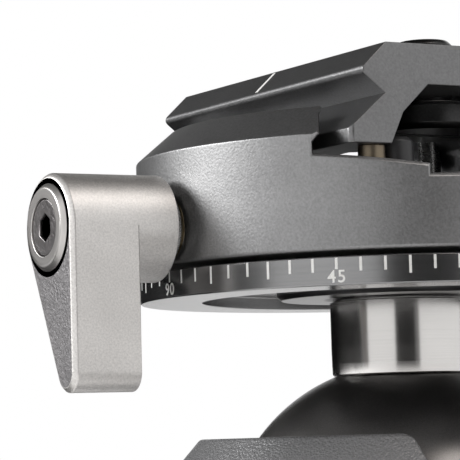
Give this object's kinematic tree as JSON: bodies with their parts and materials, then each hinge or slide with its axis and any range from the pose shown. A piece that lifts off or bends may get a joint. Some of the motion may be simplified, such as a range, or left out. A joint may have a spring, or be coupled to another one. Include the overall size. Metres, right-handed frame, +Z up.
{
  "type": "ball head",
  "caption": "Tripod ball head with a drop notch, lock and pan knobs, and a panning lever clamp that holds a dovetail camera plate above a degree scale.",
  "frame": {"origin": "on the pan axis, in the plane of the bottom face, at the mouth of the tripod thread", "axes": "+Z up along the pan axis; the drop notch faces -Y; the clamp lever points to -X and the main knob to +X; the clamp's channel runs along Y"},
  "size_m": [0.0879, 0.0572, 0.0967],
  "materials": {
    "clamp_anodised": "fine sandblasted dark grey anodising",
    "black_anodised": "fine turned black anodising",
    "knob_black": "satin black anodising",
    "housing_coat": "black pebbled texture coat",
    "ball_satin": "satin gunmetal anodising",
    "lever_silver": "sandblasted silver anodising",
    "steel": "turned stainless steel",
    "chrome": "bright chrome",
    "black_steel": "black oxide",
    "brass": "turned brass",
    "grip_rubber": "matte rubber",
    "seat_polymer": "dark low-friction polymer",
    "bearing_white": "white low-friction polymer",
    "level_glass": "clear tube with yellow-green fluid"
  },
  "bodies": {
    "base": {"base_disc": "black_anodised", "thread_insert": "steel", "foot_ring": "grip_rubber", "pan_washer": "bearing_white", "pan_retainer": "steel", "retainer_screws": "black_steel"},
    "shell": {"housing": "housing_coat", "housing_floor": "steel", "spring_plate": "steel", "disc_spring": "steel", "seat_ring": "seat_polymer", "main_bush": "brass"},
    "cup": {"thrust_cup": "seat_polymer"},
    "wedge": {"wedge_plunger": "steel"},
    "lock_knob": {"main_shaft": "steel", "main_knob": "knob_black", "main_knob_grip": "grip_rubber"},
    "dial": {"friction_dial": "lever_silver"},
    "base_brake": {"base_brake_shoe": "brass"},
    "base_knob": {"base_pan_screw": "steel", "base_pan_knob": "knob_black"},
    "ball_core": {"ball": "ball_satin"},
    "stem": {"neck": "ball_satin", "pan_hub": "black_anodised", "scale_ring": "black_anodised", "bearing_washer": "bearing_white", "clamp_cover": "black_anodised", "cover_screws": "black_steel"},
    "clamp": {"clamp_body": "clamp_anodised", "lever_nut": "brass", "rest_buttons": "brass", "level_vial": "level_glass", "pin_spring_front": "steel", "pin_spring_rear": "steel"},
    "top_brake": {"top_brake_shoe": "brass"},
    "top_knob": {"top_pan_screw": "steel", "top_pan_knob": "knob_black"},
    "jaw": {"moving_jaw": "clamp_anodised", "jaw_guide_pins": "steel"},
    "lever_arm": {"lever_shaft": "steel", "lever_washer": "steel", "lever": "lever_silver", "lever_bush": "chrome", "lever_screw": "black_steel"},
    "pin_front": {"safety_pin_front": "seat_polymer"},
    "pin_rear": {"safety_pin_rear": "seat_polymer"},
    "plate_body": {"plate": "clamp_anodised", "plate_pads": "grip_rubber", "stop_screws": "steel"},
    "screw_carrier": {"camera_washer": "black_steel"},
    "screw": {"camera_screw": "black_steel"}
  },
  "joints": [
    {"name": "base_pan", "type": "hinge", "parent": "base", "child": "shell", "pos_m": [0, 0, 0.0084], "axis": [0, 0, 1], "continuous": true},
    {"name": "ball_roll", "type": "hinge", "parent": "shell", "child": "ball_core", "pos_m": [0, 0, 0.042], "axis": [0, 1, 0], "range_deg": [-26, 26]},
    {"name": "ball_tilt", "type": "hinge", "parent": "ball_core", "child": "stem", "pos_m": [0, 0, 0.042], "axis": [1, 0, 0], "range_deg": [-26, 90]},
    {"name": "top_pan", "type": "hinge", "parent": "stem", "child": "clamp", "pos_m": [0, 0, 0.0721], "axis": [0, 0, 1], "continuous": true},
    {"name": "wedge_slide", "type": "slide", "parent": "shell", "child": "wedge", "axis": [1, 0, 0], "range_m": [0, 0.000625]},
    {"name": "main_knob_turn", "type": "hinge", "parent": "wedge", "child": "lock_knob", "pos_m": [0.035, 0, 0.0255], "axis": [1, 0, 0], "range_deg": [0, 180]},
    {"name": "cup_drop", "type": "slide", "parent": "shell", "child": "cup", "axis": [0, 0, -1], "range_m": [0, 0.00025]},
    {"name": "friction_dial_turn", "type": "hinge", "parent": "lock_knob", "child": "dial", "pos_m": [0.042, 0, 0.0255], "axis": [1, 0, 0], "range_deg": [0, 270]},
    {"name": "base_brake_slide", "type": "slide", "parent": "shell", "child": "base_brake", "axis": [-1, 0, 0], "range_m": [0, 0.00035]},
    {"name": "base_knob_turn", "type": "hinge", "parent": "base_brake", "child": "base_knob", "pos_m": [-0.03, 0, 0.0109], "axis": [-1, 0, 0], "range_deg": [0, 180]},
    {"name": "top_brake_slide", "type": "slide", "parent": "clamp", "child": "top_brake", "axis": [1, 0, 0], "range_m": [0, 0.00035]},
    {"name": "top_knob_turn", "type": "hinge", "parent": "top_brake", "child": "top_knob", "pos_m": [0.033, 0, 0.0752], "axis": [1, 0, 0], "range_deg": [0, 180]},
    {"name": "jaw_slide", "type": "slide", "parent": "clamp", "child": "jaw", "axis": [-1, 0, 0], "range_m": [0, 0.002]},
    {"name": "lever_turn", "type": "hinge", "parent": "jaw", "child": "lever_arm", "pos_m": [-0.036, 0, 0.0764], "axis": [-1, 0, 0], "range_deg": [0, 180]},
    {"name": "pin_front_press", "type": "slide", "parent": "clamp", "child": "pin_front", "axis": [0, 0, -1], "range_m": [0, 0.002], "stiffness_N_per_m": 300, "springref_m": -0.001, "deforming": ["pin_spring_front"]},
    {"name": "pin_rear_press", "type": "slide", "parent": "clamp", "child": "pin_rear", "axis": [0, 0, -1], "range_m": [0, 0.002], "stiffness_N_per_m": 300, "springref_m": -0.001, "deforming": ["pin_spring_rear"]},
    {"name": "plate_slide", "type": "slide", "parent": "clamp", "child": "plate_body", "axis": [0, 1, 0], "range_m": [-0.005, 0.005]},
    {"name": "camera_screw_slide", "type": "slide", "parent": "plate_body", "child": "screw_carrier", "axis": [0, 1, 0], "range_m": [-0.0045, 0.018]},
    {"name": "camera_screw_turn", "type": "hinge", "parent": "screw_carrier", "child": "screw", "pos_m": [0, -0.0068, 0.0925], "axis": [0, 0, 1], "continuous": true}
  ],
  "couplings": [
    {"joint": "main_knob_turn", "follows": "wedge_slide", "rad_per_m": 5026.5},
    {"joint": "cup_drop", "follows": "wedge_slide", "ratio": 0.4},
    {"joint": "base_knob_turn", "follows": "base_brake_slide", "rad_per_m": 8976},
    {"joint": "top_knob_turn", "follows": "top_brake_slide", "rad_per_m": 8976},
    {"joint": "lever_turn", "follows": "jaw_slide", "rad_per_m": 1570.8}
  ]
}
